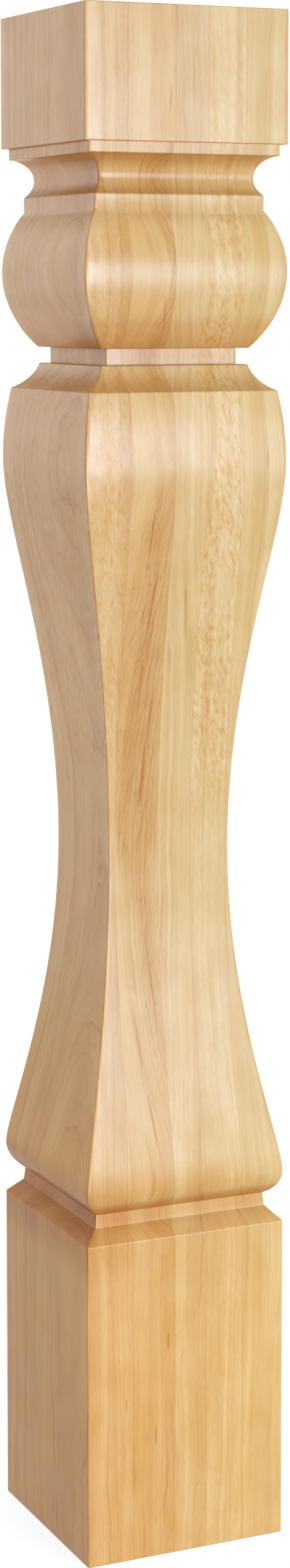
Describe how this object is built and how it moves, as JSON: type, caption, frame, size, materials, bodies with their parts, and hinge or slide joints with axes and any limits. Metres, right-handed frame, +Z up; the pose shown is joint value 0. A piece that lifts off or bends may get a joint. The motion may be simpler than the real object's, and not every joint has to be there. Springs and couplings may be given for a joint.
{
  "type": "newel post",
  "caption": "Square newel post of glued-up maple, milled on every side: base block, groove, long waisted vase, cove, neck, ball, collar, cavetto and plain top block.",
  "frame": {"origin": "middle of the square foot, at floor level", "axes": "+Z up along the post; the front face looks along -Y and the left face along -X"},
  "size_m": [0.127, 0.127, 0.9017],
  "materials": {
    "maple": "clear satin lacquer"
  },
  "bodies": {
    "root": {"post": "maple"}
  },
  "joints": []
}
